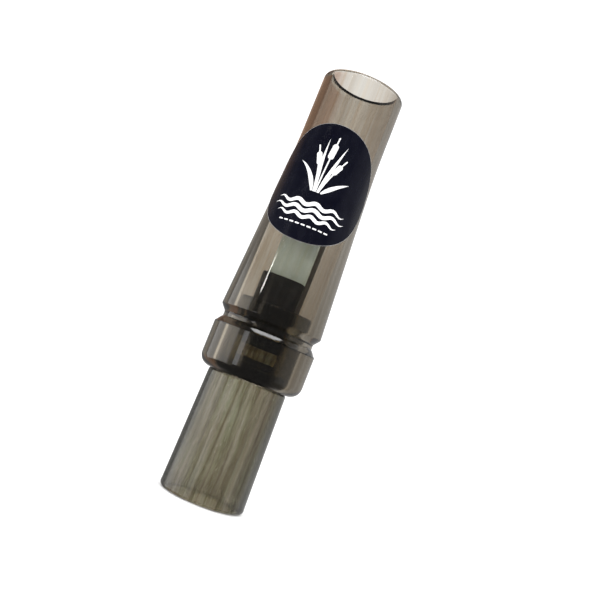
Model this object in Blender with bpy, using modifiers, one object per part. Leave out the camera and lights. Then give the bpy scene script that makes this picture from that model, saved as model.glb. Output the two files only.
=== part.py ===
"""Duck call: a double-reed call with a clear barrel pushed onto a clear insert.

Metres, +Z up. The call stands on its exhaust end: Z runs along its axis from the
exhaust rim (Z = 0) to the mouth rim, and the reeds and the label face -Y.
"""

import math

import bmesh
import bpy
from mathutils import Matrix, Vector

MM = 0.001
SEGMENTS = 48

# Along the axis, in millimetres from the exhaust rim.
CALL_LENGTH = 140.0
WEB_BOTTOM = 40.6
WEB_TOP = 43.0
SHOULDER = 38.7
BARREL_BOTTOM = 38.8
TENON_TOP = 63.2
CLAMP_LINE = 72.2
STRAIGHT_BORE_TOP = 97.6
TAPER_TOP = 115.4

# Barrel, outside.
MOUTH_R = 13.35
TAPER_SLOPE = 0.058
TAPER_BLEND = 5.0
LIP_ROUND = 2.0
BAND_R = 16.75
BAND_TOP = 53.5
BAND_FILLET = 3.8
GROOVE_R = 14.95
GROOVE_FLOOR_LOW = 54.6
GROOVE_FLOOR_HIGH = 57.0
GROOVE_TOP = 58.5
EDGE_ROUND = 0.5

# Barrel, inside.
BORE_MOUTH_R = 11.05
BARREL_WALL = 2.25
SOCKET_R = 12.15
SOCKET_CHAMFER = 0.3

# Insert: the flared exhaust, the tenon that fills the socket, and the web between them.
EXHAUST_R = 13.7
NECK_R = 12.85
EXHAUST_BORE_R = 11.9
NECK_BORE_R = 11.0
EXHAUST_ROUND = 1.1
TENON_R = 12.05
TENON_END_R = 11.9
TENON_ROUND = 1.0
TENON_BORE_R = 10.3
WEB_ROUND = 0.6

# Tone board: a bar with a round back, a spigot through the web, a locating collar and a neck ring.
BOARD_WIDTH = 12.4
BOARD_BACK_R = 10.0
BOARD_FACE_Y = -2.2
BOARD_BOTTOM = 49.6
BOARD_TIP = 114.0
BOARD_FALL_DEG = 2.1
NOSE_START = 88.0
NOSE_TIP_Y = 2.6
COLLAR_BOTTOM = 43.4
COLLAR_TOP = 45.6
AIRWAY_Y = 1.9
AIRWAY_R = 2.8
SPIGOT_R = 4.0
SPIGOT_FIT = 0.1
NECK_RING_R = 5.6
NECK_RING_TOP = 49.8
CHANNEL_WIDTH = 5.2
CHANNEL_FLOOR_Y = 3.8
CHANNEL_BOTTOM = 73.2
CHANNEL_RAMP = 92.0
CHANNEL_TOP = 105.0

# Reeds and the wedge that clamps them.
REED_WIDTH = 12.2
REED_THICKNESS = 0.36
REED_TAIL = 51.6
LONG_REED_TIP = 112.5
SHORT_REED_TIP = 109.5
REED_FIT = 0.07
REED_CORNER = 1.6
WEDGE_WIDTH = 12.6
WEDGE_BOTTOM = 51.2
WEDGE_FRONT_R = 10.1
WEDGE_EDGE_ROUND = 3.0
WEDGE_RELIEF_DEG = 2.3

# Label: a round decal wrapped on the barrel.
LABEL_R = 19.2
LABEL_CENTRE = 102.6
LABEL_TURN_DEG = 5.0
LABEL_THICKNESS = 0.15
LABEL_FIT = 0.1
LABEL_CELLS = 16


def new_collection(name):
    collection = bpy.data.collections.new(name)
    bpy.context.scene.collection.children.link(collection)
    return collection


def plastic(name, color, roughness, transmission=0.0, metallic=0.0):
    material = bpy.data.materials.new(name)
    material.use_nodes = True
    shader = material.node_tree.nodes["Principled BSDF"]
    shader.inputs["Base Color"].default_value = (*color, 1.0)
    shader.inputs["Roughness"].default_value = roughness
    shader.inputs["Metallic"].default_value = metallic
    shader.inputs["Transmission Weight"].default_value = transmission
    return material


def arc(centre, radius, start_deg, end_deg, steps=5):
    """Points on an arc from one angle to another, both ends included."""
    points = []
    for i in range(steps + 1):
        angle = math.radians(start_deg + (end_deg - start_deg) * i / steps)
        points.append((centre[0] + radius * math.cos(angle), centre[1] + radius * math.sin(angle)))
    return points


def barrel_radius(z):
    """Outer radius above the groove: a cylinder that turns softly into a cone below TAPER_TOP."""
    below = TAPER_TOP - z
    return MOUTH_R + TAPER_SLOPE * (below + math.hypot(below, TAPER_BLEND)) / 2


def bore_radius(z):
    """The bore is as wide as the socket until the wall thins to BARREL_WALL, then follows the outside."""
    return min(SOCKET_R, max(BORE_MOUTH_R, barrel_radius(z) - BARREL_WALL))


def turned(name, profile, collection):
    """A profile of (radius, height) points turned about Z. An end on the axis closes there."""
    mesh = bpy.data.meshes.new(name)
    bm = bmesh.new()
    verts = [bm.verts.new((r * MM, 0, z * MM)) for r, z in profile]
    for first, second in zip(verts, verts[1:]):
        bm.edges.new((first, second))
    if profile[0][0] > 0:
        bm.edges.new((verts[-1], verts[0]))
    bm.to_mesh(mesh)
    bm.free()
    obj = bpy.data.objects.new(name, mesh)
    collection.objects.link(obj)
    screw = obj.modifiers.new("turn", "SCREW")
    screw.axis = "Z"
    screw.angle = math.tau
    screw.steps = SEGMENTS
    screw.render_steps = SEGMENTS
    screw.use_merge_vertices = True
    screw.merge_threshold = 1e-6
    return obj


AXIS_TURNS = {
    "X": Matrix(((0, 0, 1), (1, 0, 0), (0, 1, 0))),
    "Y": Matrix(((0, 1, 0), (0, 0, 1), (1, 0, 0))),
    "Z": Matrix.Identity(3),
}


def extruded(name, outline, low, high, axis, collection):
    """A flat outline pushed along an axis from low to high.

    Its points are (x, y) along Z, (y, z) along X and (z, x) along Y.
    """
    curve = bpy.data.curves.new(name + "_outline", "CURVE")
    curve.dimensions = "2D"
    curve.fill_mode = "BOTH"
    curve.extrude = (high - low) / 2 * MM
    spline = curve.splines.new("POLY")
    spline.points.add(len(outline) - 1)
    for point, (u, v) in zip(spline.points, outline):
        point.co = (u * MM, v * MM, 0, 1)
    spline.use_cyclic_u = True
    guide = bpy.data.objects.new(name + "_outline", curve)
    bpy.context.scene.collection.objects.link(guide)
    bpy.context.view_layer.update()
    mesh = bpy.data.meshes.new_from_object(guide.evaluated_get(bpy.context.evaluated_depsgraph_get()))
    bpy.data.objects.remove(guide)
    mesh.name = name
    mesh.transform(Matrix.Translation((0, 0, (low + high) / 2 * MM)))
    mesh.transform(AXIS_TURNS[axis].to_4x4())
    bm = bmesh.new()
    bm.from_mesh(mesh)
    bmesh.ops.remove_doubles(bm, verts=bm.verts, dist=1e-6)
    bmesh.ops.recalc_face_normals(bm, faces=bm.faces)
    bm.to_mesh(mesh)
    bm.free()
    obj = bpy.data.objects.new(name, mesh)
    collection.objects.link(obj)
    return obj


def cylinder(name, radius, low, high, y, collection, segments=32):
    mesh = bpy.data.meshes.new(name)
    bm = bmesh.new()
    bmesh.ops.create_cone(
        bm,
        cap_ends=True,
        segments=segments,
        radius1=radius * MM,
        radius2=radius * MM,
        depth=(high - low) * MM,
        matrix=Matrix.Translation((0, y * MM, (low + high) / 2 * MM)),
    )
    bm.to_mesh(mesh)
    bm.free()
    obj = bpy.data.objects.new(name, mesh)
    collection.objects.link(obj)
    return obj


def combine(obj, tool, operation):
    """Cuts the tool from an object, or joins it on. The tool stays as a hidden helper."""
    tool.hide_render = True
    tool.display_type = "WIRE"
    boolean = obj.modifiers.new(tool.name, "BOOLEAN")
    boolean.operation = operation
    boolean.solver = "EXACT"
    boolean.object = tool


def finish(obj, material, origin=(0, 0, 0)):
    """Gives an object its material, smooth round faces, and its origin on the axis it moves on."""
    obj.data.materials.append(material)
    place = Vector(origin) * MM
    obj.data.transform(Matrix.Translation(-place))
    obj.location = place
    if obj.data.polygons:
        obj.data.shade_smooth()
        obj.data.set_sharp_from_angle(angle=math.radians(35))
    return obj


def keep_with(child, parent):
    """Parents without moving the child."""
    bpy.context.view_layer.update()
    child.parent = parent
    child.matrix_parent_inverse = parent.matrix_world.inverted()


def barrel_profile():
    """Outside from the mouth down to the band, then up the socket and the bore."""
    lip_centre = (MOUTH_R - LIP_ROUND, CALL_LENGTH - LIP_ROUND)
    profile = [(BORE_MOUTH_R, CALL_LENGTH)]
    profile += arc(lip_centre, LIP_ROUND, 90, 0, 6)
    side_heights = [130, 124, 120, 117, 114, 111, 107, 100, 85, 72]
    profile += [(barrel_radius(z), z) for z in side_heights]
    profile += [(barrel_radius(GROOVE_TOP + EDGE_ROUND), GROOVE_TOP + EDGE_ROUND)]
    profile += [(barrel_radius(GROOVE_TOP) - EDGE_ROUND / 3, GROOVE_TOP)]
    profile += [(GROOVE_R + EDGE_ROUND, GROOVE_FLOOR_HIGH + EDGE_ROUND / 2)]
    profile += [(GROOVE_R, GROOVE_FLOOR_HIGH - EDGE_ROUND)]
    profile += [(GROOVE_R, GROOVE_FLOOR_LOW + EDGE_ROUND)]
    profile += [(GROOVE_R + EDGE_ROUND, GROOVE_FLOOR_LOW)]
    profile += [(BAND_R - EDGE_ROUND, BAND_TOP)]
    profile += [(BAND_R, BAND_TOP - EDGE_ROUND)]
    fillet_centre = (BAND_R - BAND_FILLET, BARREL_BOTTOM + BAND_FILLET)
    profile += arc(fillet_centre, BAND_FILLET, 0, -90, 7)
    profile += [(SOCKET_R + SOCKET_CHAMFER, BARREL_BOTTOM)]
    profile += [(SOCKET_R, BARREL_BOTTOM + SOCKET_CHAMFER)]
    bore_heights = [STRAIGHT_BORE_TOP, 104, TAPER_TOP - TAPER_BLEND, TAPER_TOP]
    profile += [(bore_radius(z), z) for z in bore_heights]
    return profile


def make_barrel(parts):
    material = plastic("smoke_barrel", (0.50, 0.46, 0.40), 0.08, transmission=0.9)
    return finish(turned("barrel", barrel_profile(), parts), material)


def insert_profile():
    """From the web's top out and up the tenon bore, down the outside, and up the exhaust bore."""
    profile = [(0, WEB_TOP)]
    profile += [(TENON_BORE_R - WEB_ROUND, WEB_TOP), (TENON_BORE_R, WEB_TOP + WEB_ROUND)]
    profile += [(TENON_BORE_R, TENON_TOP - EDGE_ROUND), (TENON_BORE_R + EDGE_ROUND, TENON_TOP)]
    profile += arc((TENON_END_R - TENON_ROUND, TENON_TOP - TENON_ROUND), TENON_ROUND, 90, 0, 4)
    profile += [(TENON_R, SHOULDER)]
    profile += arc((NECK_R - EDGE_ROUND, SHOULDER - EDGE_ROUND), EDGE_ROUND, 90, 0, 3)
    profile += arc((EXHAUST_R - EXHAUST_ROUND, EXHAUST_ROUND), EXHAUST_ROUND, 0, -90, 5)
    profile += [(EXHAUST_BORE_R, 0)]
    profile += [(NECK_BORE_R, WEB_BOTTOM - WEB_ROUND), (NECK_BORE_R - WEB_ROUND, WEB_BOTTOM)]
    profile += [(0, WEB_BOTTOM)]
    return profile


def make_insert(parts, tools):
    material = plastic("smoke_insert", (0.40, 0.37, 0.29), 0.14, transmission=0.85)
    insert = finish(turned("insert", insert_profile(), parts), material)
    hole_r = SPIGOT_R + SPIGOT_FIT
    hole = cylinder("web_hole", hole_r, WEB_BOTTOM - 2, WEB_TOP + 2, AIRWAY_Y, tools)
    combine(insert, hole, "DIFFERENCE")
    return insert


def board_section():
    """A bar as wide as the reeds, flat in front and round behind."""
    half = BOARD_WIDTH / 2
    corner = math.degrees(math.acos(half / BOARD_BACK_R))
    back = arc((0, 0), BOARD_BACK_R, corner, 180 - corner, 10)
    return [(-half, BOARD_FACE_Y), (half, BOARD_FACE_Y)] + back


def make_tone_board(parts, tools):
    material = plastic("board_plastic", (0.05, 0.06, 0.055), 0.3)
    board = extruded("tone_board", board_section(), BOARD_BOTTOM, BOARD_TIP, "Z", parts)
    collar = extruded("board_collar", board_section(), COLLAR_BOTTOM, COLLAR_TOP, "Z", tools)
    combine(board, cylinder("spigot", SPIGOT_R, WEB_BOTTOM, BOARD_BOTTOM + 2, AIRWAY_Y, tools), "UNION")
    combine(board, collar, "UNION")
    neck_ring = cylinder("neck_ring", NECK_RING_R, COLLAR_TOP - 0.5, NECK_RING_TOP, AIRWAY_Y, tools)
    combine(board, neck_ring, "UNION")

    past = 2.0
    fall = math.tan(math.radians(BOARD_FALL_DEG)) * (BOARD_TIP + past - CLAMP_LINE)
    face_outline = [
        (BOARD_FACE_Y - past, CLAMP_LINE - past),
        (BOARD_FACE_Y, CLAMP_LINE),
        (BOARD_FACE_Y + fall, BOARD_TIP + past),
        (BOARD_FACE_Y - past, BOARD_TIP + past),
    ]
    nose_slope = (BOARD_BACK_R - NOSE_TIP_Y) / (BOARD_TIP - NOSE_START)
    nose_outline = [
        (BOARD_BACK_R + nose_slope * past, NOSE_START - past),
        (BOARD_BACK_R + 2 * past, NOSE_START - past),
        (BOARD_BACK_R + 2 * past, BOARD_TIP + past),
        (NOSE_TIP_Y - nose_slope * past, BOARD_TIP + past),
    ]
    channel_outline = [
        (BOARD_FACE_Y - past, CHANNEL_BOTTOM),
        (CHANNEL_FLOOR_Y, CHANNEL_BOTTOM),
        (CHANNEL_FLOOR_Y, CHANNEL_RAMP),
        (BOARD_FACE_Y - past, CHANNEL_TOP + past),
    ]
    width = BOARD_WIDTH / 2 + past
    combine(board, extruded("face_cut", face_outline, -width, width, "X", tools), "DIFFERENCE")
    combine(board, extruded("nose_cut", nose_outline, -width, width, "X", tools), "DIFFERENCE")
    half_channel = CHANNEL_WIDTH / 2
    channel = extruded("channel_cut", channel_outline, -half_channel, half_channel, "X", tools)
    combine(board, channel, "DIFFERENCE")
    airway = cylinder("airway_cut", AIRWAY_R, WEB_BOTTOM - past, CHANNEL_BOTTOM + past, AIRWAY_Y, tools)
    combine(board, airway, "DIFFERENCE")
    return finish(board, material)


def reed_outline(tip):
    """A strip with square tail corners and rounded tip corners, as (z, x) points."""
    half = REED_WIDTH / 2
    outline = [(REED_TAIL, half), (REED_TAIL, -half)]
    outline += arc((tip - REED_CORNER, -half + REED_CORNER), REED_CORNER, -90, 0, 4)
    outline += arc((tip - REED_CORNER, half - REED_CORNER), REED_CORNER, 0, 90, 4)
    return outline


def make_reed(name, tip, back_y, material, parts):
    front_y = back_y - REED_THICKNESS
    reed = extruded(name, reed_outline(tip), front_y, back_y, "Y", parts)
    return finish(reed, material, origin=(0, long_reed_back(), CLAMP_LINE))


def long_reed_back():
    return BOARD_FACE_Y - REED_FIT


def short_reed_back():
    return long_reed_back() - REED_THICKNESS - REED_FIT


def wedge_back():
    return short_reed_back() - REED_THICKNESS - REED_FIT


def wedge_section():
    """Flat behind, with a front that follows the tenon bore and rounded upright edges."""
    half = WEDGE_WIDTH / 2
    round_x = half - WEDGE_EDGE_ROUND
    round_y = -math.sqrt((WEDGE_FRONT_R - WEDGE_EDGE_ROUND) ** 2 - round_x**2)
    meet = math.degrees(math.atan2(round_y, round_x))
    left = arc((-round_x, round_y), WEDGE_EDGE_ROUND, 180, 180 - meet, 4)
    front = arc((0, 0), WEDGE_FRONT_R, 180 - meet, 360 + meet, 6)
    right = arc((round_x, round_y), WEDGE_EDGE_ROUND, meet, 0, 4)
    return [(-half, wedge_back())] + left + front[1:-1] + right + [(half, wedge_back())]


def make_wedge(parts, tools):
    material = plastic("black_rubber", (0.02, 0.02, 0.022), 0.6)
    wedge = extruded("wedge", wedge_section(), WEDGE_BOTTOM, CLAMP_LINE, "Z", parts)
    relief = math.tan(math.radians(WEDGE_RELIEF_DEG)) * (CLAMP_LINE - WEDGE_BOTTOM + 1)
    relief_outline = [
        (wedge_back(), CLAMP_LINE),
        (wedge_back() - relief, WEDGE_BOTTOM - 1),
        (wedge_back() + relief, WEDGE_BOTTOM - 1),
    ]
    cut = extruded("wedge_relief", relief_outline, -WEDGE_WIDTH, WEDGE_WIDTH, "X", tools)
    combine(wedge, cut, "DIFFERENCE")
    return finish(wedge, material, origin=(0, wedge_back(), CLAMP_LINE))


def make_label(parts):
    """A disc laid on the barrel: square cells drawn into a disc, then wrapped round the taper."""
    mesh = bpy.data.meshes.new("label")
    bm = bmesh.new()
    bmesh.ops.create_grid(bm, x_segments=LABEL_CELLS, y_segments=LABEL_CELLS, size=1.0)
    for vert in bm.verts:
        x, y = vert.co.x, vert.co.y
        along = x * math.sqrt(1 - y * y / 2) * LABEL_R
        height = LABEL_CENTRE + y * math.sqrt(1 - x * x / 2) * LABEL_R
        radius = barrel_radius(height) + LABEL_FIT
        angle = math.radians(LABEL_TURN_DEG) + along / barrel_radius(LABEL_CENTRE)
        vert.co = (radius * MM * math.sin(angle), -radius * MM * math.cos(angle), height * MM)
    bm.to_mesh(mesh)
    bm.free()
    label = bpy.data.objects.new("label", mesh)
    parts.objects.link(label)
    shell = label.modifiers.new("thickness", "SOLIDIFY")
    shell.thickness = LABEL_THICKNESS * MM
    shell.offset = 1.0
    return finish(label, plastic("label_film", (0.01, 0.01, 0.014), 0.2))


def build():
    for obj in list(bpy.data.objects):
        bpy.data.objects.remove(obj)
    parts = new_collection("duck_call")
    tools = new_collection("duck_call_tools")

    insert = make_insert(parts, tools)
    barrel = make_barrel(parts)
    keep_with(make_label(parts), barrel)
    reed_film = plastic("frosted_reed", (0.62, 0.66, 0.58), 0.5)
    keep_with(make_tone_board(parts, tools), insert)
    keep_with(make_reed("long_reed", LONG_REED_TIP, long_reed_back(), reed_film, parts), insert)
    keep_with(make_reed("short_reed", SHORT_REED_TIP, short_reed_back(), reed_film.copy(), parts), insert)
    keep_with(make_wedge(parts, tools), insert)


build()
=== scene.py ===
"""Looks of the duck call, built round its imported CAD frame.

Two smoked clear shells hold a moulded tone board, two frosted reeds and a rubber wedge, and a
printed label is wrapped on the barrel. Units are metres, in the frame of the CAD, but the label is drawn
in millimetres.
"""

import math

import bmesh
import bpy
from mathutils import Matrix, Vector


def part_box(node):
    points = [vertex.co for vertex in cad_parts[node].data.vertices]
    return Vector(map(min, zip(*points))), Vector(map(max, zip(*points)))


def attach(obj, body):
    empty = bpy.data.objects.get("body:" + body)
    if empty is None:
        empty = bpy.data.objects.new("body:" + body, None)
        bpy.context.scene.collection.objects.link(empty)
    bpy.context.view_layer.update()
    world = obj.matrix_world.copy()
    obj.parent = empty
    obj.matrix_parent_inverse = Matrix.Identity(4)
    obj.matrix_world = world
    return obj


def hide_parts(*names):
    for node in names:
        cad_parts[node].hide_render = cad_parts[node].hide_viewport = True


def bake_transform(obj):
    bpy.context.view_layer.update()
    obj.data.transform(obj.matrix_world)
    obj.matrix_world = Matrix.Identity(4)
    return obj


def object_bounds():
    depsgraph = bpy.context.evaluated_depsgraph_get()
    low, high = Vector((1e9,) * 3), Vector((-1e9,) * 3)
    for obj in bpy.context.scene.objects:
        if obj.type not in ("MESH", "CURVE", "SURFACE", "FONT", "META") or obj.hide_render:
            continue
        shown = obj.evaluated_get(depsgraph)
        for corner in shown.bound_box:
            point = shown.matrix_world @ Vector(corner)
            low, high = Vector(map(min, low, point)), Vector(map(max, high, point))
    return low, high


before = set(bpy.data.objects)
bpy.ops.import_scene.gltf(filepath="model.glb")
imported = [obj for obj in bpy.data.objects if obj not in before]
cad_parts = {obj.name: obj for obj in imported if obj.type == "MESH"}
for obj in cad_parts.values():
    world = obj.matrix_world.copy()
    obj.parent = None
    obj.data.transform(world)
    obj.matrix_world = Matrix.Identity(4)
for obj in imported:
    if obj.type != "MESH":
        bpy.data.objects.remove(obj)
cad_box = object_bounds()

MM = 0.001

# Meshes. The hole in the insert's web is looked for within HOLE_SEARCH_R of the axis.
WELD = 2e-6
TURN_STEPS = 192
HOLE_STEPS = 96
CORNER_DEG = 35
FLAT_DEG = 1
CURVE_STEP_DEG = 4
HOLE_SEARCH_R = 9 * MM
BEVEL_STEPS = 3
BOARD_BEVEL = 0.15 * MM
WEDGE_BEVEL = 0.35 * MM

# Reeds.
REED_CORNER = 1.6 * MM
REED_ROWS = 48
REED_TIP_ROWS = 10
REED_COLUMNS = 12

# Tone board: the ring between its collar and its bar, as heights above the board's lowest point. Its pale
# amber is partly painted light, standing in for light through the gap round the spigot.
NECK_PAINTED_LIGHT_BAND = (5.15 * MM, 8.85 * MM)

# Clear plastics. Handling has made the insert's tube rougher, up to just under the barrel's foot.
CLEAR_IOR = 1.58
HANDLED_BELOW = 37 * MM
POLISHED_ABOVE = 38.5 * MM
HANDLED_ROUGHNESS = 0.1

# Label, all in millimetres.
FILM_LIFT = (0.03, 0.2)
PRINT_LIFT = 0.245
PRINT_THICKNESS = 0.03
RIM_WIDTH = 0.12
LABEL_RINGS = 24
LABEL_STEPS = 160
STRIP_CELL = 0.5

# The emblem on the label, in millimetres from its centre. A blade's widths are parts of its widest.
LINE_HALF = 0.22
LEAF_STEPS = 24
BLADE_ROOT = 0.35
BLADE_WIDEST_AT = 0.35
BLADE_TIP = 0.04
BLADE_TAPER = 2.2
HEAD_STEPS = 16
HEAD_END_HALF = 0.05
BARE_TIP = 2.2
LEAN_STEPS = 4
RIPPLE_STEPS = 96
RIPPLE_WAVES = 4
RIPPLE_END = 0.06
FOOT = -3.2
DASHES = 9
DASH_PITCH = 1.75
DASH_HALF = 0.6
DASH_HEIGHT = -14.0

# Camera: it looks at the call from a low angle and is rolled, so that the call leans to the right.
LENS = 51
CAMERA_AZIMUTH = math.radians(13)
CAMERA_DISTANCE = 267.3 * MM
CAMERA_HEIGHT = 46.5 * MM
AIM_UP = math.radians(4.7)
AIM_RIGHT = math.radians(1.25)
LEAN = math.radians(21.65)
CLIP_START = 0.01
CLIP_END = 20

# Ray bounces: enough to pass through every clear wall.
MOST_BOUNCES = 32
GLOSS_BOUNCES = 16

# Studio light, in scene radiance. A ray that has scattered finds the tent brighter by a fill: one for
# surfaces in the open, and one for surfaces behind a clear wall.
TENT_LIGHT = 1.35
OPEN_FILL = 1.5
INSIDE_FILL = 5.0
ROOM_LIGHT = 0.14

# Panels in the room: azimuth, half width, lowest, highest and soft edge, in degrees, then light. An
# azimuth turns from -Y towards +X.
GLOSS_PANELS = (
    (193, 12, -60, 75, 6, 0.5),
    (228, 28, -60, 75, 6, 0.16),
    (153, 28, -60, 75, 6, 0.4),
    (-78, 33, -20, 9, 3, 1.3),
    (100, 30, -25, 60, 8, 0.3),
    (-27, 5, -10, 3, 2, 2.0),
    (-34.5, 1.0, 9.0, 12.8, 0.4, 20.0),
    (13, 70, 58, 84, 5, 6.5),
)

# Tinted cloths in the tent and in the room: a panel's place, then what it multiplies the light's red,
# green and blue by.
TENT_CLOTHS = (
    (150, 36, -80, 80, 5, (0.70, 0.67, 0.64)),
    (226, 26, 12, 60, 4, (0.80, 0.66, 0.61)),
)
ROOM_CLOTHS = (
    (226, 32, 12, 60, 4, (1.20, 0.80, 0.60)),
)

# Floors. The small one shows only through the call, and is paler within the exhaust tube: painted light
# against the shade there.
FLOOR_STEPS = 96
FLOOR_R = 3
FLOOR_DROP = 0.1 * MM
NEAR_FLOOR_R = 40 * MM
NEAR_FLOOR_DROP = 0.05 * MM
PAINTED_LIGHT_WITHIN = 11 * MM
PAINTED_LIGHT_ENDS_BEYOND = 15 * MM


# Shapes read from the frame


def welded(node):
    """A CAD node's mesh, with the vertices that share a place made one."""
    bm = bmesh.new()
    bm.from_mesh(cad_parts[node].data)
    bmesh.ops.remove_doubles(bm, verts=bm.verts, dist=WELD)
    return bm


def half_section(node):
    """A turned CAD node cut by the XZ plane: (radius, height) points in order, and whether they close."""
    bm = welded(node)
    cut = {v for v in bm.verts if abs(v.co.y) < WELD and v.co.x > 0}
    beside = {v: [e.other_vert(v) for e in v.link_edges if e.other_vert(v) in cut] for v in cut}
    ends = [v for v in cut if len(beside[v]) == 1]
    path = [max(ends or cut, key=lambda v: v.co.z)]
    seen = set(path)
    while True:
        onward = [v for v in beside[path[-1]] if v not in seen]
        if not onward:
            break
        path.append(onward[0])
        seen.add(onward[0])
    points = [Vector((v.co.x, v.co.z)) for v in path]
    bm.free()
    return points, not ends


def tangents_of(points, closed):
    """The outline's direction at each point, or None at an end and at a turn sharper than CORNER_DEG."""
    tangents = []
    for i, point in enumerate(points):
        if not closed and i in (0, len(points) - 1):
            tangents.append(None)
            continue
        before = point - points[i - 1]
        after = points[(i + 1) % len(points)] - point
        corner = before.angle(after) > math.radians(CORNER_DEG)
        tangents.append(None if corner else (before + after).normalized())
    return tangents


def on_curve(start, end, leave, arrive, t):
    """The place at t, from 0 to 1, on the cubic curve with these ends and directions."""
    length = (end - start).length
    place = (1 + 2 * t) * (1 - t) ** 2 * start + t * t * (3 - 2 * t) * end
    return place + length * (t * (1 - t) ** 2 * leave - t * t * (1 - t) * arrive)


def refined(points, closed):
    """The outline with its round stretches sampled finely and its corners kept."""
    count = len(points)
    tangents = tangents_of(points, closed)
    fine = []
    for i in range(count if closed else count - 1):
        start, end = points[i], points[(i + 1) % count]
        chord = end - start
        leave = tangents[i] or chord.normalized()
        arrive = tangents[(i + 1) % count] or chord.normalized()
        turn = leave.angle(chord) + chord.angle(arrive)
        steps = max(1, math.ceil(math.degrees(turn) / CURVE_STEP_DEG))
        fine += [on_curve(start, end, leave, arrive, step / steps) for step in range(steps)]
    if not closed:
        fine.append(points[-1])
    return fine


def outer_radius(outline, height):
    """The largest radius at which a closed outline crosses a height."""
    found = []
    for (r1, z1), (r2, z2) in zip(outline, outline[1:]):
        if min(z1, z2) <= height <= max(z1, z2) and z1 != z2:
            found.append(r1 + (r2 - r1) * (height - z1) / (z2 - z1))
    return max(found)


# Mesh making


def new_piece(name, bm, material, smooth=True):
    """An object made of this bmesh, with smooth round faces and crisp corners."""
    bmesh.ops.recalc_face_normals(bm, faces=bm.faces)
    mesh = bpy.data.meshes.new(name)
    bm.to_mesh(mesh)
    bm.free()
    if smooth:
        mesh.shade_smooth()
        mesh.set_sharp_from_angle(angle=math.radians(CORNER_DEG))
    mesh.materials.append(material)
    piece = bpy.data.objects.new(name, mesh)
    bpy.context.scene.collection.objects.link(piece)
    return piece


def spun(outline, closed):
    """A fine surface of revolution about Z."""
    bm = bmesh.new()
    verts = [bm.verts.new((r, 0, z)) for r, z in outline]
    pairs = list(zip(verts, verts[1:]))
    if closed:
        pairs.append((verts[-1], verts[0]))
    edges = [bm.edges.new(pair) for pair in pairs]
    bmesh.ops.spin(
        bm, geom=verts + edges, cent=(0, 0, 0), axis=(0, 0, 1), angle=math.tau,
        steps=TURN_STEPS, use_merge=True,
    )
    bmesh.ops.remove_doubles(bm, verts=bm.verts, dist=WELD / 10)
    return bm


def round_hole(piece, x, y, radius, low, high):
    """Cuts an upright round hole through a piece, from height low to high."""
    bm = bmesh.new()
    bmesh.ops.create_cone(
        bm, cap_ends=True, segments=HOLE_STEPS, radius1=radius, radius2=radius, depth=high - low
    )
    bmesh.ops.translate(bm, verts=bm.verts, vec=(x, y, (low + high) / 2))
    cutter = new_piece("hole_cutter", bm, piece.data.materials[0])
    cut = piece.modifiers.new("hole", "BOOLEAN")
    cut.operation = "DIFFERENCE"
    cut.solver = "EXACT"
    cut.object = cutter
    apply_modifiers(piece)
    bpy.data.objects.remove(cutter)
    piece.data.shade_smooth()
    piece.data.set_sharp_from_angle(angle=math.radians(CORNER_DEG))


def apply_modifiers(piece):
    graph = bpy.context.evaluated_depsgraph_get()
    mesh = bpy.data.meshes.new_from_object(piece.evaluated_get(graph))
    piece.modifiers.clear()
    piece.data = mesh


def softened(name, node, material, width, cuts=()):
    """A CAD node's shape with its flat faces made whole, split at the cut heights, and its edges rounded."""
    bm = welded(node)
    bmesh.ops.dissolve_limit(bm, angle_limit=math.radians(FLAT_DEG), verts=bm.verts, edges=bm.edges)
    for height in cuts:
        geometry = list(bm.verts) + list(bm.edges) + list(bm.faces)
        bmesh.ops.bisect_plane(bm, geom=geometry, plane_co=(0, 0, height), plane_no=(0, 0, 1))
    piece = new_piece(name, bm, material)
    bevel = piece.modifiers.new("worn_edges", "BEVEL")
    bevel.width = width
    bevel.segments = BEVEL_STEPS
    bevel.limit_method = "ANGLE"
    bevel.angle_limit = math.radians(CORNER_DEG)
    bevel.harden_normals = True
    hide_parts(node)
    return piece


def reed_rows(low, high, half):
    """(height, half width) up a reed: a straight strip with round corners at its tip."""
    shoulder = high - REED_CORNER
    rows = [(low + (shoulder - low) * i / REED_ROWS, half) for i in range(REED_ROWS)]
    for i in range(REED_TIP_ROWS + 1):
        angle = math.pi / 2 * i / REED_TIP_ROWS
        height = shoulder + REED_CORNER * math.sin(angle)
        rows.append((height, half - REED_CORNER * (1 - math.cos(angle))))
    return rows


def reed_face(bm, low, high, y):
    """One broad face of a reed as a grid. It returns the vertices round its border, in order."""
    grid = []
    for z, half in reed_rows(low.z, high.z, high.x):
        span = [half * (2 * i / REED_COLUMNS - 1) for i in range(REED_COLUMNS + 1)]
        grid.append([bm.verts.new((x, y, z)) for x in span])
    for lower, upper in zip(grid, grid[1:]):
        for i in range(REED_COLUMNS):
            bm.faces.new((lower[i], lower[i + 1], upper[i + 1], upper[i]))
    border = grid[0] + [row[-1] for row in grid[1:]]
    return border + grid[-1][-2::-1] + [row[0] for row in grid[-2:0:-1]]


def reed_plate(name, node, material):
    """A reed as a fine grid of faces, so that it can bend along its length."""
    low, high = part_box(node)
    bm = bmesh.new()
    front, back = [reed_face(bm, low, high, y) for y in (low.y, high.y)]
    for i in range(len(front)):
        bm.faces.new((front[i - 1], front[i], back[i], back[i - 1]))
    piece = new_piece(name, bm, material)
    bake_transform(piece)
    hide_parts(node)
    return piece


# Materials


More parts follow.
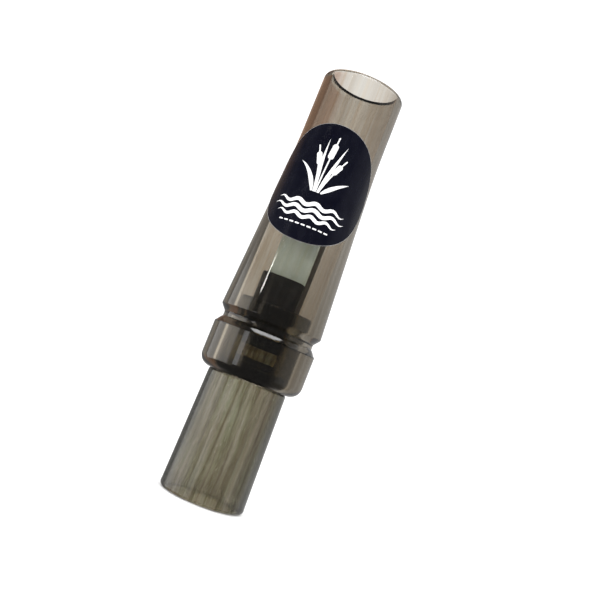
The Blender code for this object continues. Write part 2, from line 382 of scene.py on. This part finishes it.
class Nodes:
    """A node tree, with short ways to add nodes and join them."""

    def __init__(self, tree):
        self.tree = tree

    def add(self, kind, **settings):
        node = self.tree.nodes.new(kind)
        for key, value in settings.items():
            setattr(node, key, value)
        return node

    def join(self, source, target):
        self.tree.links.new(source, target)

    def maths(self, kind, *sources):
        """A Math node's result, from sockets or plain numbers."""
        node = self.add("ShaderNodeMath", operation=kind)
        for socket, source in zip(node.inputs, sources):
            if isinstance(source, (int, float)):
                socket.default_value = source
            else:
                self.join(source, socket)
        return node.outputs["Value"]

    def tinted(self, source, factor, tint):
        """A colour multiplied by a tint where the factor is 1."""
        mix = self.add("ShaderNodeMix", data_type="RGBA", blend_type="MULTIPLY")
        colours = [socket for socket in mix.inputs if socket.type == "RGBA"]
        self.join(factor, mix.inputs["Factor"])
        self.join(source, colours[0])
        colours[1].default_value = (*tint, 1)
        return [socket for socket in mix.outputs if socket.type == "RGBA"][0]


class Shader(Nodes):
    """A material made of a Principled BSDF, with what feeds it placed by object coordinates."""

    def __init__(self, name):
        self.material = bpy.data.materials.new(name)
        self.material.use_nodes = True
        super().__init__(self.material.node_tree)
        self.principled = self.tree.nodes["Principled BSDF"]
        self.output = self.tree.nodes["Material Output"]
        self.place = self.add("ShaderNodeTexCoord").outputs["Object"]

    def set(self, **values):
        for name, value in values.items():
            self.principled.inputs[name.replace("_", " ")].default_value = value

    def scaled(self, scale):
        """Object coordinates multiplied by this scale on each axis."""
        mapping = self.add("ShaderNodeMapping")
        mapping.inputs["Scale"].default_value = scale
        self.join(self.place, mapping.inputs["Vector"])
        return mapping.outputs["Vector"]

    def noise(self, scale, size=1.0, detail=3.0, roughness=0.5, distortion=0.0):
        """Noise with this many features per metre. A scale under 1 draws it out along that axis."""
        noise = self.add("ShaderNodeTexNoise")
        noise.inputs["Scale"].default_value = size
        noise.inputs["Detail"].default_value = detail
        noise.inputs["Roughness"].default_value = roughness
        noise.inputs["Distortion"].default_value = distortion
        self.join(self.scaled(scale), noise.inputs["Vector"])
        return noise.outputs["Fac"]

    def ramp(self, source, *stops):
        """A colour ramp from (position, colour) stops."""
        node = self.add("ShaderNodeValToRGB")
        elements = node.color_ramp.elements
        while len(elements) < len(stops):
            elements.new(0.5)
        for element, (position, colour) in zip(elements, stops):
            element.position = position
            element.color = (*colour, 1)
        self.join(source, node.inputs["Fac"])
        return node.outputs["Color"]

    def spread(self, source, low, high, start=0.3, end=0.7):
        """The source's stretch from start to end mapped on to low to high."""
        spread = self.add("ShaderNodeMapRange")
        for name, value in zip(("From Min", "From Max", "To Min", "To Max"), (start, end, low, high)):
            spread.inputs[name].default_value = value
        self.join(source, spread.inputs["Value"])
        return spread.outputs["Result"]

    def hairlines(self, source, width):
        """1 on the thin wandering lines where a noise crosses its middle value, and 0 off them."""
        off = self.maths("ABSOLUTE", self.maths("SUBTRACT", source, 0.5))
        return self.spread(off, 1, 0, 0, width)

    def bump(self, *layers):
        """Bump from (height, depth in metres) layers, one on another."""
        normal = None
        for height, depth in layers:
            bump = self.add("ShaderNodeBump")
            bump.inputs["Distance"].default_value = depth
            self.join(height, bump.inputs["Height"])
            if normal:
                self.join(normal, bump.inputs["Normal"])
            normal = bump.outputs["Normal"]
        self.join(normal, self.principled.inputs["Normal"])

    def colour(self, source):
        self.join(source, self.principled.inputs["Base Color"])

    def rough(self, source):
        self.join(source, self.principled.inputs["Roughness"])

    def absorb(self, density, colour):
        """Smoke in the body of a clear plastic: density per metre, taken from what colour leaves out."""
        smoke = self.add("ShaderNodeVolumeAbsorption")
        smoke.inputs["Density"].default_value = density
        smoke.inputs["Color"].default_value = (*colour, 1)
        self.join(smoke.outputs["Volume"], self.output.inputs["Volume"])


def grey(level):
    return level, level, level


def smoke_barrel():
    """Polished brown-grey smoke, with soft upright streaks, moulding waves and a few scuffs."""
    shader = Shader("smoke_barrel_plastic")
    shader.set(IOR=CLEAR_IOR, Transmission_Weight=1.0)
    waves = shader.noise((1, 1, 0.25), size=160, detail=1)
    streaks = shader.noise((1, 1, 0.03), size=420, detail=3, roughness=0.55)
    fine = shader.noise((1, 1, 0.02), size=900, detail=4, roughness=0.65)
    scuffs = shader.noise((1, 1, 0.06), size=2600, detail=5, roughness=0.7, distortion=0.4)
    smoke = shader.ramp(
        streaks, (0.34, (0.56, 0.51, 0.45)), (0.46, (0.67, 0.65, 0.62)), (0.66, (0.75, 0.745, 0.72))
    )
    shader.colour(shader.tinted(smoke, shader.spread(fine, 0, 1, 0.48, 0.62), (0.98, 0.92, 0.86)))
    shader.rough(shader.spread(scuffs, 0.015, 0.06, 0.45, 0.75))
    shader.bump((waves, 0.03 * MM), (scuffs, 0.0006 * MM))
    shader.absorb(160, (0.464, 0.40, 0.272))
    return shader.material


def smoke_insert():
    """Olive smoke with upright flow streaks, hairlines and scratches, duller below the barrel's foot."""
    shader = Shader("smoke_insert_plastic")
    shader.set(IOR=CLEAR_IOR, Transmission_Weight=1.0)
    streaks = shader.noise((1, 1, 0.04), size=620, detail=4, roughness=0.6)
    bands = shader.noise((1, 1, 0.1), size=240, detail=2)
    hues = shader.noise((1, 1, 0.07), size=380, detail=3, distortion=0.6)
    mottle = shader.noise((1, 1, 0.35), size=900, detail=5, roughness=0.7)
    scratches = shader.noise((1, 1, 0.12), size=3200, detail=5, roughness=0.75, distortion=1.2)
    smoke = shader.ramp(
        streaks,
        (0.37, (0.40, 0.35, 0.28)), (0.46, (0.72, 0.69, 0.58)),
        (0.54, (0.94, 0.94, 0.89)), (0.62, (1.0, 1.0, 1.0)),
    )
    blush = shader.tinted(smoke, shader.spread(hues, 0, 1, 0.5, 0.62), (1.0, 0.93, 0.90))
    olive = shader.tinted(blush, shader.spread(hues, 1, 0, 0.38, 0.5), (0.93, 0.97, 0.89))
    mottled = shader.tinted(olive, shader.spread(mottle, 0, 1, 0.5, 0.64), (0.84, 0.82, 0.79))
    hairs = shader.hairlines(shader.noise((1, 1, 0.16), size=520, detail=2, distortion=1.6), 0.008)
    broken = shader.maths("MULTIPLY", hairs, shader.spread(mottle, 0, 1, 0.46, 0.58))
    shader.colour(shader.tinted(mottled, broken, (0.72, 0.70, 0.66)))
    place = shader.add("ShaderNodeSeparateXYZ")
    shader.join(shader.place, place.inputs["Vector"])
    handled = shader.spread(place.outputs["Z"], HANDLED_ROUGHNESS, 0, HANDLED_BELOW, POLISHED_ABOVE)
    shader.rough(shader.maths("ADD", shader.spread(scratches, 0.05, 0.2, 0.45, 0.7), handled))
    shader.bump((bands, 0.08 * MM), (streaks, 0.014 * MM), (mottle, 0.006 * MM), (broken, 0.006 * MM))
    shader.absorb(440, (0.24, 0.225, 0.14))
    return shader.material


def board_plastic():
    """Satin green-black moulding that lets a little light through."""
    shader = Shader("board_moulding")
    shader.set(IOR=1.5, Transmission_Weight=0.15)
    grain = shader.noise((1, 1, 0.3), size=1500, detail=4)
    clouds = shader.noise((1, 1, 0.4), size=300, detail=3)
    shader.colour(shader.ramp(clouds, (0.35, (0.009, 0.011, 0.010)), (0.65, (0.020, 0.023, 0.021))))
    shader.rough(shader.spread(grain, 0.28, 0.45))
    shader.bump((grain, 0.004 * MM))
    return shader.material


def amber_band_painted_light():
    """Pale amber moulding, with a fine grain and darker flow lines round it. Its paleness is painted light,
    for the light that shows through the gap round the spigot.
    """
    shader = Shader("amber_painted_light_band")
    shader.set(IOR=1.12, Transmission_Weight=0.2)
    flow = shader.noise((0.35, 0.35, 1.6), size=420, detail=4, roughness=0.6)
    grain = shader.noise((1, 1, 1), size=2400, detail=3)
    amber = shader.ramp(
        flow,
        (0.35, (0.62, 0.55, 0.36)), (0.48, (0.88, 0.82, 0.58)), (0.62, (1.0, 0.97, 0.80)),
    )
    shader.colour(amber)
    shader.rough(shader.spread(grain, 0.25, 0.45))
    shader.bump((flow, 0.05 * MM), (grain, 0.003 * MM))
    return shader.material


def reed_film():
    """Frosted pale blue film, with faint clouds, a fine tooth and lengthwise scratches."""
    shader = Shader("frosted_film")
    shader.set(IOR=1.45, Transmission_Weight=0.1)
    tooth = shader.noise((1, 1, 1), size=6000, detail=3)
    scratches = shader.noise((1, 1, 0.03), size=2500, detail=4, roughness=0.65)
    clouds = shader.noise((1, 1, 0.5), size=250, detail=3)
    shader.colour(shader.ramp(clouds, (0.3, (0.40, 0.50, 0.515)), (0.7, (0.47, 0.57, 0.585))))
    shader.rough(shader.spread(scratches, 0.42, 0.62))
    shader.bump((scratches, 0.002 * MM), (tooth, 0.003 * MM))
    return shader.material


def black_rubber():
    """Matt black rubber with a pitted grain and patches of pale dust."""
    shader = Shader("wedge_rubber")
    grain = shader.noise((1, 1, 1), size=2600, detail=5, roughness=0.6)
    dust = shader.noise((1, 1, 0.6), size=500, detail=4)
    black = shader.ramp(
        dust,
        (0.4, (0.005, 0.005, 0.007)), (0.62, (0.010, 0.010, 0.012)), (0.8, grey(0.024)),
    )
    shader.colour(black)
    shader.rough(shader.spread(grain, 0.5, 0.75))
    shader.bump((grain, 0.02 * MM))
    return shader.material


def label_film():
    """Blue-black film, rubbed unevenly, with a slight orange peel."""
    shader = Shader("label_black_film")
    shader.set(IOR=1.28)
    peel = shader.noise((1, 1, 1), size=900, detail=2)
    wear = shader.noise((1, 1, 0.5), size=350, detail=5, roughness=0.6)
    shader.colour(shader.ramp(wear, (0.35, (0.0018, 0.002, 0.0062)), (0.7, (0.0038, 0.0042, 0.010))))
    shader.rough(shader.spread(wear, 0.16, 0.32))
    shader.bump((peel, 0.004 * MM))
    return shader.material


def print_ink(name, low, high):
    """Grey to white ink between two levels: slightly uneven in its cover, with a dry satin face."""
    shader = Shader(name)
    shader.set(IOR=1.45)
    cover = shader.noise((1, 1, 1), size=1400, detail=4, roughness=0.6)
    tooth = shader.noise((1, 1, 1), size=5200, detail=2)
    shader.colour(shader.ramp(cover, (0.3, grey(low)), (0.62, grey(high))))
    shader.rough(shader.spread(cover, 0.35, 0.5))
    shader.bump((tooth, 0.002 * MM))
    return shader.material


# Label: drawn flat in millimetres from its centre, then wrapped round the barrel


class Wrap:
    """Maps a flat point (u, v) of the label on to the barrel, lifted off its surface."""

    def __init__(self, barrel_outline):
        low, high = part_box("label")
        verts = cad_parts["label"].data.vertices
        side = sum((v.co for v in verts), Vector())
        self.turn = math.atan2(side.x, -side.y)
        self.centre = (low.z + high.z) / 2
        self.radius = (high.z - low.z) / 2 / MM
        self.outline = barrel_outline
        self.girth = outer_radius(barrel_outline, self.centre)

    def place(self, u, v, lift):
        height = self.centre + v * MM
        radius = outer_radius(self.outline, height) + lift * MM
        angle = self.turn + u * MM / self.girth
        return radius * math.sin(angle), -radius * math.cos(angle), height


def label_disc(wrap, material):
    """The black film: a disc of rings, wrapped, with its thickness and edge."""
    bm = bmesh.new()
    turns = [math.tau * i / LABEL_STEPS for i in range(LABEL_STEPS)]
    rims = []
    for lift in FILM_LIFT:
        rings = []
        for ring in range(1, LABEL_RINGS + 1):
            radius = wrap.radius * ring / LABEL_RINGS
            flat = [(radius * math.cos(a), radius * math.sin(a)) for a in turns]
            rings.append([bm.verts.new(wrap.place(u, v, lift)) for u, v in flat])
        middle = bm.verts.new(wrap.place(0, 0, lift))
        for i in range(LABEL_STEPS):
            bm.faces.new((middle, rings[0][i - 1], rings[0][i]))
        for inner, outer in zip(rings, rings[1:]):
            for i in range(LABEL_STEPS):
                bm.faces.new((inner[i - 1], outer[i - 1], outer[i], inner[i]))
        rims.append(rings[-1])
    under, over = rims
    for i in range(LABEL_STEPS):
        bm.faces.new((under[i - 1], under[i], over[i], over[i - 1]))
    piece = new_piece("label_black_face", bm, material)
    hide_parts("label")
    return piece


def strip(bm, wrap, path, half_widths):
    """A printed stroke along a path of flat points, as wide at each as its half width says."""
    points = [Vector(point) for point in path]
    across = max(1, math.ceil(2 * max(half_widths) / STRIP_CELL))
    rows = []
    for i, (point, half) in enumerate(zip(points, half_widths)):
        before = points[max(i - 1, 0)]
        after = points[min(i + 1, len(points) - 1)]
        along = (after - before).normalized()
        side = Vector((-along.y, along.x))
        row = [point + side * half * (2 * j / across - 1) for j in range(across + 1)]
        rows.append([bm.verts.new(wrap.place(p.x, p.y, PRINT_LIFT)) for p in row])
    for lower, upper in zip(rows, rows[1:]):
        for j in range(across):
            bm.faces.new((lower[j], lower[j + 1], upper[j + 1], upper[j]))


def printed(name, bm, material):
    """A piece made of printed strokes, with their thickness."""
    piece = new_piece(name, bm, material)
    shell = piece.modifiers.new("thickness", "SOLIDIFY")
    shell.thickness = PRINT_THICKNESS * MM
    shell.offset = -1
    return piece


def bent_line(start, bulge, end):
    """Points on a smooth curve from start to end, pulled towards bulge."""
    points = []
    for i in range(LEAF_STEPS + 1):
        t = i / LEAF_STEPS
        points.append((1 - t) ** 2 * Vector(start) + 2 * t * (1 - t) * Vector(bulge) + t * t * Vector(end))
    return points


def blade(bm, wrap, start, bulge, end, half):
    """A leaf: part width at its root, soon full, then down to a point."""
    widths = []
    for i in range(LEAF_STEPS + 1):
        t = i / LEAF_STEPS
        opening = math.sin(min(t / BLADE_WIDEST_AT, 1) * math.pi / 2)
        width = (BLADE_ROOT + (1 - BLADE_ROOT) * opening) * (1 - t ** BLADE_TAPER)
        widths.append(half * max(BLADE_TIP, width))
    strip(bm, wrap, bent_line(start, bulge, end), widths)


def cattail(bm, wrap, start, bulge, end, head_length, head_half):
    """A stalk with a long round head just below its tip."""
    stalk = bent_line(start, bulge, end)
    strip(bm, wrap, stalk, [LINE_HALF] * len(stalk))
    lean = (stalk[-1] - stalk[-1 - LEAN_STEPS]).normalized()
    head_top = Vector(end) - lean * BARE_TIP
    head_bottom = head_top - lean * head_length
    spine = [head_bottom.lerp(head_top, i / HEAD_STEPS) for i in range(HEAD_STEPS + 1)]
    widths = []
    for i in range(HEAD_STEPS + 1):
        from_end = min(i, HEAD_STEPS - i) / HEAD_STEPS * head_length
        into_round = max(0.0, 1 - from_end / head_half)
        widths.append(max(HEAD_END_HALF, head_half * math.sqrt(1 - into_round ** 2)))
    strip(bm, wrap, spine, widths)


def ripple(bm, wrap, height, half_length, swing, half_width):
    """A water line: a wave that thins towards both ends."""
    path = []
    widths = []
    for i in range(RIPPLE_STEPS + 1):
        t = 2 * i / RIPPLE_STEPS - 1
        path.append((t * half_length, height + swing * math.sin(math.pi * RIPPLE_WAVES * t)))
        widths.append(half_width * max(RIPPLE_END, 1 - abs(t) ** 3))
    strip(bm, wrap, path, widths)


def label_print(wrap, material):
    """A plain marsh emblem: cattails and blades over water lines, with a row of dashes."""
    bm = bmesh.new()
    cattail(bm, wrap, (-0.3, FOOT), (-0.2, 6), (0.8, 15.2), 5.2, 0.95)
    cattail(bm, wrap, (-1.0, FOOT), (-1.6, 4), (-4.6, 11.4), 4.4, 0.85)
    cattail(bm, wrap, (0.6, FOOT), (2.0, 3), (5.6, 9.2), 4.0, 0.8)
    blade(bm, wrap, (-1.6, FOOT), (-3.4, 3), (-8.6, 5.4), 0.75)
    blade(bm, wrap, (1.4, FOOT), (4.6, 0.5), (8.8, 2.6), 0.7)
    blade(bm, wrap, (-0.6, FOOT), (-2.2, 6), (-2.0, 14.0), 0.6)
    blade(bm, wrap, (0.3, FOOT), (2.0, 6), (4.4, 13.2), 0.6)
    ripple(bm, wrap, -7.2, 11.0, 0.55, 0.62)
    ripple(bm, wrap, -9.3, 11.6, 0.55, 0.62)
    ripple(bm, wrap, -11.4, 9.6, 0.5, 0.55)
    for i in range(DASHES):
        centre = (i - (DASHES - 1) / 2) * DASH_PITCH
        path = [(centre + reach, DASH_HEIGHT) for reach in (-DASH_HALF, 0, DASH_HALF)]
        strip(bm, wrap, path, [LINE_HALF] * len(path))
    return printed("label_white_print", bm, material)


def label_rim(wrap, material):
    """The pale cut edge of the film."""
    bm = bmesh.new()
    radius = wrap.radius - RIM_WIDTH / 2
    turns = [math.tau * i / LABEL_STEPS for i in range(LABEL_STEPS + 1)]
    path = [(radius * math.cos(a), radius * math.sin(a)) for a in turns]
    strip(bm, wrap, path, [RIM_WIDTH / 2] * len(path))
    bmesh.ops.remove_doubles(bm, verts=bm.verts, dist=WELD)
    return printed("label_cut_edge", bm, material)


# Pieces


def make_barrel(outline):
    """The mouthpiece shell, turned from the outline."""
    piece = new_piece("clear_barrel", spun(outline, True), smoke_barrel())
    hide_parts("barrel")
    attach(piece, "barrel")


def make_insert():
    """The flared tube with its web, whose hole is read from the CAD node."""
    points, _ = half_section("insert")
    web_top, web_bottom = points[0].y, points[-1].y
    outline = [Vector((0, web_top))] + points + [Vector((0, web_bottom))]
    piece = new_piece("clear_insert", spun(refined(outline, False), False), smoke_insert())
    bm = welded("insert")
    hole = [v.co for v in bm.verts if abs(v.co.z - web_top) < WELD and v.co.xy.length < HOLE_SEARCH_R]
    centre = sum(hole, Vector()) / len(hole)
    radius = (hole[0] - centre).length
    bm.free()
    round_hole(piece, centre.x, centre.y, radius, web_bottom - MM, web_top + MM)
    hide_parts("insert")
    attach(piece, "insert")


def make_works():
    """Tone board with its amber ring, made pale as painted light, reeds and wedge."""
    low, high = [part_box("tone_board")[0].z + height for height in NECK_PAINTED_LIGHT_BAND]
    board = softened("moulded_tone_board", "tone_board", board_plastic(), BOARD_BEVEL, (low, high))
    board.data.materials.append(amber_band_painted_light())
    # The neck band's upright faces take the pale amber: painted light where light shows through the gap
    # round the spigot.
    for face in board.data.polygons:
        upright = abs(face.normal.z) < 0.5
        if upright and low < face.center.z < high:
            face.material_index = 1
    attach(board, "insert")
    wedge = softened("rubber_wedge", "wedge", black_rubber(), WEDGE_BEVEL)
    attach(wedge, "wedge")
    film = reed_film()
    reed_plate("long_reed_film", "long_reed", film)
    reed_plate("short_reed_film", "short_reed", film)


def make_label(outline):
    """The black disc, its print and its cut edge, all wrapped round the barrel."""
    wrap = Wrap(outline)
    ink = print_ink("white_ink", 0.66, 0.88)
    edge = print_ink("pale_film_edge", 0.12, 0.26)
    for piece in (label_disc(wrap, label_film()), label_print(wrap, ink), label_rim(wrap, edge)):
        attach(piece, "barrel")


# Studio


class Studio(Nodes):
    """The world's node tree, with soft panels placed by azimuth and elevation."""

    def __init__(self):
        world = bpy.data.worlds.new("studio")
        world.use_nodes = True
        world.cycles.sampling_method = "NONE"
        bpy.context.scene.world = world
        super().__init__(world.node_tree)
        self.background = self.tree.nodes["Background"]
        direction = self.add("ShaderNodeTexCoord").outputs["Generated"]
        split = self.add("ShaderNodeSeparateXYZ")
        self.join(direction, split.inputs["Vector"])
        self.rise = split.outputs["Z"]
        level = self.add("ShaderNodeVectorMath", operation="MULTIPLY")
        self.join(direction, level.inputs[0])
        level.inputs[1].default_value = (1, 1, 0)
        bearing = self.add("ShaderNodeVectorMath", operation="NORMALIZE")
        self.join(level.outputs["Vector"], bearing.inputs[0])
        self.bearing = bearing.outputs["Vector"]

    def faded(self, source, zero_at, one_at):
        """0 to 1 in a soft step as the source goes from zero_at to one_at."""
        step = self.add("ShaderNodeMapRange", interpolation_type="SMOOTHSTEP")
        step.inputs["From Min"].default_value = zero_at
        step.inputs["From Max"].default_value = one_at
        self.join(source, step.inputs["Value"])
        return step.outputs["Result"]

    def panel(self, azimuth, half_width, low, high, edge):
        """1 inside a soft-edged panel from low to high elevation, in degrees, and 0 outside."""
        turn = math.radians(azimuth)
        facing = self.add("ShaderNodeVectorMath", operation="DOT_PRODUCT")
        self.join(self.bearing, facing.inputs[0])
        facing.inputs[1].default_value = (math.sin(turn), -math.cos(turn), 0)
        sides = [math.cos(math.radians(half_width + reach)) for reach in (edge, -edge)]
        beside = self.faded(facing.outputs["Value"], *sides)
        above = self.faded(self.rise, *[math.sin(math.radians(low + reach)) for reach in (-edge, edge)])
        below = self.faded(self.rise, *[math.sin(math.radians(high + reach)) for reach in (edge, -edge)])
        return self.maths("MULTIPLY", self.maths("MULTIPLY", beside, above), below)

    def clothed(self, colour, condition, cloths):
        """The colour with each cloth's tint on it, for the rays that meet the condition."""
        for *place, tint in cloths:
            covered = self.maths("MULTIPLY", self.panel(*place), condition)
            colour = self.tinted(colour, covered, tint)
        return colour


def light_studio():
    """A white tent for what passes through or scatters, and a dark room with soft panels for gloss."""
    studio = Studio()
    path = studio.add("ShaderNodeLightPath").outputs
    scattered = studio.maths("GREATER_THAN", path["Diffuse Depth"], 0.5)
    passed = studio.maths("GREATER_THAN", path["Transmission Depth"], 0.5)
    reflected = studio.maths("GREATER_THAN", path["Glossy Depth"], 0.5)

    inside_gain = studio.maths("MULTIPLY", passed, INSIDE_FILL - OPEN_FILL)
    gain = studio.maths("ADD", OPEN_FILL - 1, inside_gain)
    fill = studio.maths("ADD", 1.0, studio.maths("MULTIPLY", scattered, gain))
    room = ROOM_LIGHT
    for *place, light in GLOSS_PANELS:
        room = studio.maths("ADD", room, studio.maths("MULTIPLY", studio.panel(*place), light))
    strength = studio.add("ShaderNodeMix", data_type="FLOAT")
    studio.join(reflected, strength.inputs["Factor"])
    studio.join(studio.maths("MULTIPLY", TENT_LIGHT, fill), strength.inputs["A"])
    studio.join(room, strength.inputs["B"])
    studio.join(strength.outputs["Result"], studio.background.inputs["Strength"])

    white = studio.add("ShaderNodeRGB").outputs["Color"]
    white.default_value = (1, 1, 1, 1)
    straight_through = studio.maths("MULTIPLY", passed, studio.maths("SUBTRACT", 1.0, reflected))
    colour = studio.clothed(white, straight_through, TENT_CLOTHS)
    colour = studio.clothed(colour, reflected, ROOM_CLOTHS)
    studio.join(colour, studio.background.inputs["Color"])


def floor_disc(name, radius, drop, material):
    """A disc just under the call, which reflections don't show."""
    bm = bmesh.new()
    bmesh.ops.create_circle(bm, cap_ends=True, segments=FLOOR_STEPS, radius=radius)
    bmesh.ops.translate(bm, verts=bm.verts, vec=(0, 0, cad_box[0].z - drop))
    disc = new_piece(name, bm, material, smooth=False)
    disc.visible_glossy = False
    return disc


def pale_floor():
    """Matt and near white."""
    shader = Shader("pale_floor")
    shader.set(Roughness=0.9)
    unevenness = shader.noise((1, 1, 1), size=30)
    shader.colour(shader.ramp(unevenness, (0.3, grey(0.86)), (0.7, grey(0.88))))
    return shader.material


def under_call_painted_light_floor():
    """A darker floor, paler within the exhaust tube, where little light reaches it: the paleness there is
    painted light.
    """
    shader = Shader("under_call_floor_painted_light")
    shader.set(Roughness=0.9)
    distance = shader.add("ShaderNodeVectorMath", operation="LENGTH")
    shader.join(shader.place, distance.inputs[0])
    unevenness = shader.maths("MULTIPLY", shader.noise((1, 1, 1), size=30), 0.02)
    # Painted light: the floor is paler within the exhaust tube, to lift the shade under the call.
    level = shader.spread(distance.outputs["Value"], 0.6, 0.2, PAINTED_LIGHT_WITHIN, PAINTED_LIGHT_ENDS_BEYOND)
    total = shader.maths("ADD", level, unevenness)
    shader.colour(shader.ramp(total, (0.0, grey(0)), (1.0, grey(1))))
    return shader.material


def make_floor():
    """A wide floor, and a small one under the call that shows only through its clear walls."""
    wide = floor_disc("floor", FLOOR_R, FLOOR_DROP, pale_floor())
    wide.visible_transmission = False
    near = floor_disc("under_call_painted_light_floor", NEAR_FLOOR_R, NEAR_FLOOR_DROP, under_call_painted_light_floor())
    near.visible_camera = False
    near.visible_diffuse = False


def camera_axes(out):
    """The camera's X, Y and Z: it looks back along out, a little right and up, and is rolled."""
    up = Vector((0, 0, 1))
    right = Vector((math.cos(CAMERA_AZIMUTH), math.sin(CAMERA_AZIMUTH), 0))
    level = -out * math.cos(AIM_RIGHT) + right * math.sin(AIM_RIGHT)
    forward = level * math.cos(AIM_UP) + up * math.sin(AIM_UP)
    across = forward.cross(up).normalized()
    upward = across.cross(forward)
    rolled_across = across * math.cos(LEAN) + upward * math.sin(LEAN)
    rolled_upward = upward * math.cos(LEAN) - across * math.sin(LEAN)
    return rolled_across, rolled_upward, -forward


def place_camera():
    """Beside the call and a little below its middle."""
    out = Vector((math.sin(CAMERA_AZIMUTH), -math.cos(CAMERA_AZIMUTH), 0))
    data = bpy.data.cameras.new("camera")
    data.lens = LENS
    data.clip_start = CLIP_START
    data.clip_end = CLIP_END
    camera = bpy.data.objects.new("camera", data)
    bpy.context.scene.collection.objects.link(camera)
    turn = camera.matrix_world.to_3x3()
    turn.col[0], turn.col[1], turn.col[2] = camera_axes(out)
    camera.matrix_world = turn.to_4x4()
    camera.location = out * CAMERA_DISTANCE + Vector((0, 0, CAMERA_HEIGHT))
    bpy.context.scene.camera = camera


def set_rays():
    """Plain colours, and the numbers of bounces."""
    scene = bpy.context.scene
    scene.view_settings.view_transform = "Standard"
    scene.cycles.max_bounces = MOST_BOUNCES
    scene.cycles.transmission_bounces = MOST_BOUNCES
    scene.cycles.glossy_bounces = GLOSS_BOUNCES


barrel_outline = refined(*half_section("barrel"))
make_barrel(barrel_outline)
make_insert()
make_works()
make_label(barrel_outline)
light_studio()
make_floor()
place_camera()
set_rays()
